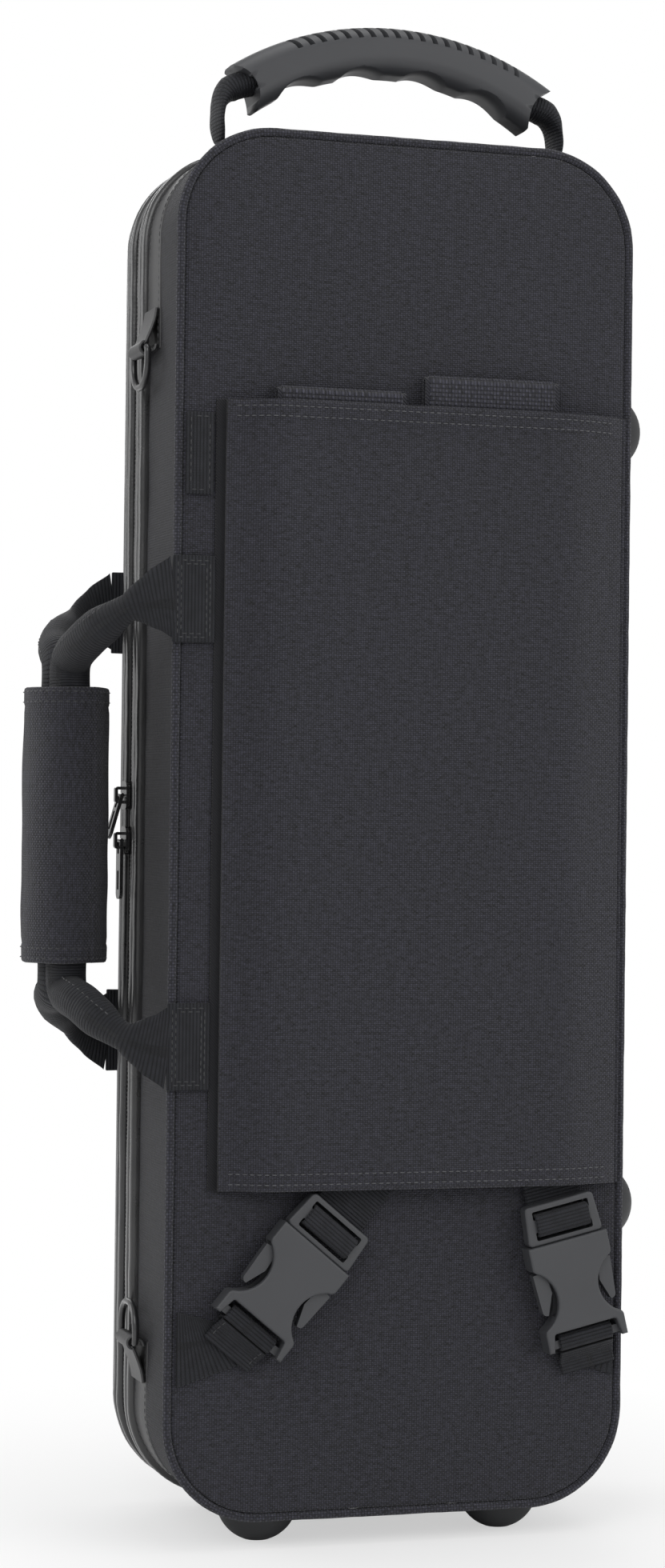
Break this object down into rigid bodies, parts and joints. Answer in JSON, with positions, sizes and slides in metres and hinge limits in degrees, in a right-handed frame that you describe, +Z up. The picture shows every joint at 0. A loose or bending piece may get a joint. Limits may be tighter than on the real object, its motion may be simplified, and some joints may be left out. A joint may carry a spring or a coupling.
{
  "type": "soprano saxophone case",
  "caption": "Tall soft-covered instrument case with a zipped hinged lid, backpack straps stowed under a cover, carry handles, buckles and rubber feet.",
  "frame": {"origin": "on the floor, under the middle of the width and depth of the body", "axes": "+Z up along the case, -Y out of the back panel with the straps, -X towards the zipped side and carry handle"},
  "size_m": [0.3248, 0.1573, 0.788],
  "materials": {
    "ballistic_cover": "coarse plain-weave nylon, dark charcoal",
    "panel_cover": "coarse plain-weave nylon, dark charcoal",
    "piping": "woven tape over a round cord",
    "lip": "glossy black leatherette",
    "band": "matt black leatherette",
    "zip_tape": "fine woven tape",
    "zip_coil": "black nylon coil",
    "zip_metal": "black glossy lacquer",
    "ring_wire": "black satin lacquer",
    "webbing": "ribbed black webbing",
    "moulded_grip": "satin dark grey moulding",
    "buckle_plastic": "satin dark grey moulding",
    "foot_rubber": "satin black rubber",
    "screw_steel": "dark plated steel",
    "shell_board": "thin laminated board",
    "foam_plush": "short black plush over foam",
    "strap_mesh": "padded air mesh",
    "binding": "folded woven binding",
    "hook_tape": "hook fastener tape"
  },
  "bodies": {
    "tray": {"tray_shell": "shell_board", "tray_side_fabric": "ballistic_cover", "back_panel_fabric": "panel_cover", "back_panel_piping": "piping", "tray_zip_lip": "lip", "tray_zip_tape": "zip_tape", "tray_zip_coil": "zip_coil", "tray_hinge_strip": "ballistic_cover", "corner_bands": "band", "tray_feet": "foot_rubber", "tray_foot_screws": "screw_steel", "hinge_side_panel": "ballistic_cover", "tray_floor_pad": "foam_plush", "instrument_cradle": "foam_plush", "end_handle_patches": "webbing", "webbing_tab": "webbing", "strap_cover_seam": "ballistic_cover", "strap_cover_hook_strip": "hook_tape", "tray_handle_patches": "webbing", "d_ring_tabs": "band", "shoulder_strap_left": "strap_mesh", "shoulder_strap_right": "strap_mesh", "strap_bindings": "binding", "strap_ribbons": "webbing", "buckle_receivers": "buckle_plastic", "buckle_frames": "buckle_plastic", "buckle_anchor_webs": "webbing", "strap_adjust_webs": "webbing"},
    "lid": {"lid_shell": "shell_board", "lid_fabric": "ballistic_cover", "lid_zip_lip": "lip", "lid_zip_tape": "zip_tape", "lid_zip_coil": "zip_coil", "lid_hinge_strip": "ballistic_cover", "lid_feet": "foot_rubber", "lid_foot_screws": "screw_steel", "lid_pad": "foam_plush", "lid_pocket": "ballistic_cover", "lid_pocket_zip": "zip_coil", "lid_handle_patches": "webbing"},
    "tray_handle": {"tray_handle_straps": "webbing", "tray_handle_grip": "ballistic_cover"},
    "lid_handle": {"lid_handle_straps": "webbing", "lid_handle_grip": "ballistic_cover"},
    "end_handle": {"end_handle_grip": "moulded_grip", "end_handle_straps": "webbing"},
    "strap_cover": {"strap_cover": "ballistic_cover"},
    "slider_upper": {"slider_upper": "zip_metal"},
    "slider_lower": {"slider_lower": "zip_metal"},
    "pull_upper": {"pull_upper": "zip_metal"},
    "pull_lower": {"pull_lower": "zip_metal"},
    "pocket_slider": {"pocket_slider": "zip_metal"},
    "pocket_pull": {"pocket_pull": "zip_metal"},
    "d_ring_upper": {"d_ring_upper": "ring_wire"},
    "d_ring_lower": {"d_ring_lower": "ring_wire"},
    "buckle_arm_a_left": {"buckle_arm_a_left": "buckle_plastic"},
    "buckle_arm_b_left": {"buckle_arm_b_left": "buckle_plastic"},
    "buckle_arm_a_right": {"buckle_arm_a_right": "buckle_plastic"},
    "buckle_arm_b_right": {"buckle_arm_b_right": "buckle_plastic"}
  },
  "joints": [
    {"name": "lid_hinge", "type": "hinge", "parent": "tray", "child": "lid", "pos_m": [0.1218, 0.02525, 0.369], "axis": [0, 0, -1], "range_deg": [0, 120]},
    {"name": "tray_handle_swing", "type": "hinge", "parent": "tray", "child": "tray_handle", "pos_m": [-0.12515, -0.0672, 0.369], "axis": [0, 0, 1], "range_deg": [0, 70]},
    {"name": "lid_handle_swing", "type": "hinge", "parent": "lid", "child": "lid_handle", "pos_m": [-0.12515, 0.0672, 0.369], "axis": [0, 0, -1], "range_deg": [0, 70]},
    {"name": "end_handle_tilt", "type": "hinge", "parent": "tray", "child": "end_handle", "pos_m": [0, -0.025, 0.733], "axis": [1, 0, 0], "range_deg": [-35, 35]},
    {"name": "strap_cover_hinge", "type": "hinge", "parent": "tray", "child": "strap_cover", "pos_m": [0.11735, -0.0686, 0.3835], "axis": [0, 0, 1], "range_deg": [0, 100]},
    {"name": "slider_upper_slide", "type": "slide", "parent": "tray", "child": "slider_upper", "axis": [0, 0, 1], "range_m": [0, 0.27]},
    {"name": "slider_lower_slide", "type": "slide", "parent": "tray", "child": "slider_lower", "axis": [0, 0, -1], "range_m": [0, 0.25]},
    {"name": "pull_upper_swing", "type": "hinge", "parent": "slider_upper", "child": "pull_upper", "pos_m": [-0.1285, 0.02525, 0.383], "axis": [0, 1, 0], "range_deg": [0, 12]},
    {"name": "pull_lower_swing", "type": "hinge", "parent": "slider_lower", "child": "pull_lower", "pos_m": [-0.1285, 0.02525, 0.359], "axis": [0, 1, 0], "range_deg": [0, 20]},
    {"name": "pocket_slider_slide", "type": "slide", "parent": "lid", "child": "pocket_slider", "axis": [-1, 0, 0], "range_m": [0, 0.125]},
    {"name": "pocket_pull_swing", "type": "hinge", "parent": "pocket_slider", "child": "pocket_pull", "pos_m": [0.058, 0.0758, 0.606], "axis": [1, 0, 0], "range_deg": [0, 150]},
    {"name": "d_ring_upper_swing", "type": "hinge", "parent": "tray", "child": "d_ring_upper", "pos_m": [-0.1282, -0.0062, 0.615], "axis": [0, 1, 0], "range_deg": [0, 150]},
    {"name": "d_ring_lower_swing", "type": "hinge", "parent": "tray", "child": "d_ring_lower", "pos_m": [-0.1282, -0.0062, 0.1], "axis": [0, -1, 0], "range_deg": [0, 150]},
    {"name": "buckle_left_arm_a_squeeze", "type": "hinge", "parent": "tray", "child": "buckle_arm_a_left", "pos_m": [-0.03732, -0.0727, 0.14485], "axis": [0, 1, 0], "range_deg": [0, 7], "stiffness_Nm_per_rad": 0.3},
    {"name": "buckle_left_arm_b_squeeze", "type": "hinge", "parent": "tray", "child": "buckle_arm_b_left", "pos_m": [-0.05824, -0.0727, 0.16254], "axis": [0, -1, 0], "range_deg": [0, 7], "stiffness_Nm_per_rad": 0.3},
    {"name": "buckle_right_arm_a_squeeze", "type": "hinge", "parent": "tray", "child": "buckle_arm_a_right", "pos_m": [0.10121, -0.0727, 0.15784], "axis": [0, 1, 0], "range_deg": [0, 7], "stiffness_Nm_per_rad": 0.3},
    {"name": "buckle_right_arm_b_squeeze", "type": "hinge", "parent": "tray", "child": "buckle_arm_b_right", "pos_m": [0.07454, -0.0727, 0.15159], "axis": [0, -1, 0], "range_deg": [0, 7], "stiffness_Nm_per_rad": 0.3}
  ]
}
